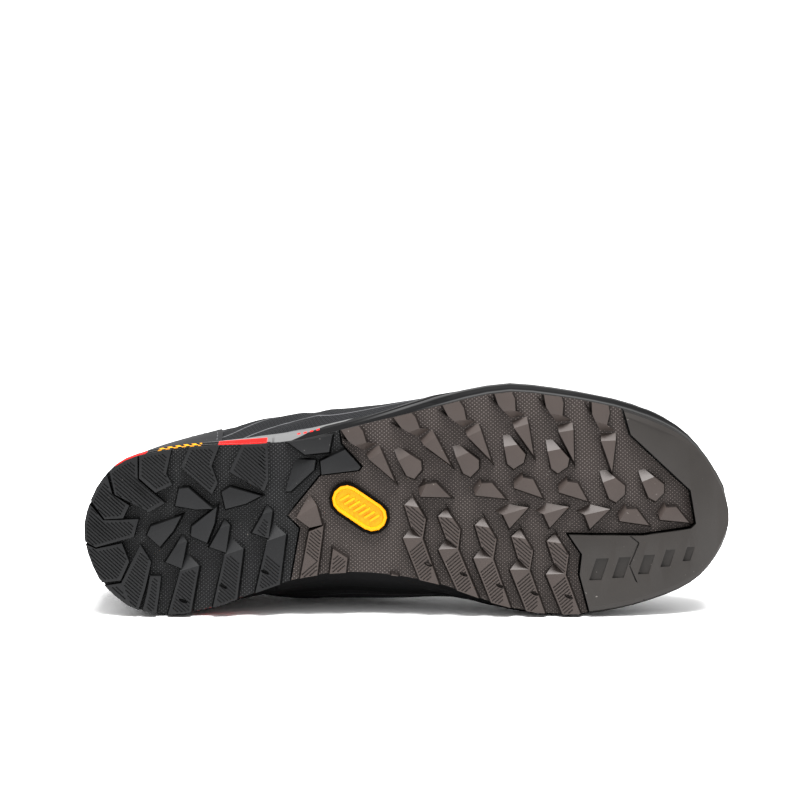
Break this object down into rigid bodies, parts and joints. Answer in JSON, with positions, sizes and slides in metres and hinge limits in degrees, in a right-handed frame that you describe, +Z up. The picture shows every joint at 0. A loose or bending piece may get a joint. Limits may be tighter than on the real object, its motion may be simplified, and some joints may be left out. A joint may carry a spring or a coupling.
{
  "type": "approach shoe",
  "caption": "Right approach shoe, empty, lying on its inner side with its lugged sole towards the front",
  "frame": {"origin": "middle of the lying shoe's footprint box, on the floor", "axes": "+X from heel to toe along the floor, +Y from the tread towards the collar, +Z up from the shoe's inner side to its outer side"},
  "size_m": [0.3018, 0.115, 0.1052],
  "materials": {
    "cuff_fabric": "matte",
    "eyelet_plastic": "satin",
    "eyestay_film": "matte",
    "counter_film": "matte",
    "insert_red": "satin",
    "insole_fabric": "matte",
    "lace_cord": "matte",
    "midsole_foam": "matte",
    "heel_rubber": "matte",
    "main_rubber": "matte",
    "toe_rubber": "satin",
    "loop_webbing": "matte",
    "badge_yellow": "satin",
    "rand_rubber": "matte",
    "tongue_fabric": "matte",
    "upper_fabric": "matte"
  },
  "bodies": {
    "root": {"collar_cuff": "cuff_fabric", "eyelet_inner_1": "eyelet_plastic", "eyelet_inner_2": "eyelet_plastic", "eyelet_inner_3": "eyelet_plastic", "eyelet_inner_4": "eyelet_plastic", "eyelet_inner_5": "eyelet_plastic", "eyelet_inner_6": "eyelet_plastic", "eyelet_outer_1": "eyelet_plastic", "eyelet_outer_2": "eyelet_plastic", "eyelet_outer_3": "eyelet_plastic", "eyelet_outer_4": "eyelet_plastic", "eyelet_outer_5": "eyelet_plastic", "eyelet_outer_6": "eyelet_plastic", "eyestay": "eyestay_film", "heel_counter": "counter_film", "heel_insert": "insert_red", "insole": "insole_fabric", "lace_crossings": "lace_cord", "midsole": "midsole_foam", "outsole_heel": "heel_rubber", "outsole_main": "main_rubber", "outsole_toe": "toe_rubber", "pull_loop": "loop_webbing", "sole_badge": "badge_yellow", "toe_rand": "rand_rubber", "tongue": "tongue_fabric", "upper": "upper_fabric"}
  },
  "joints": []
}
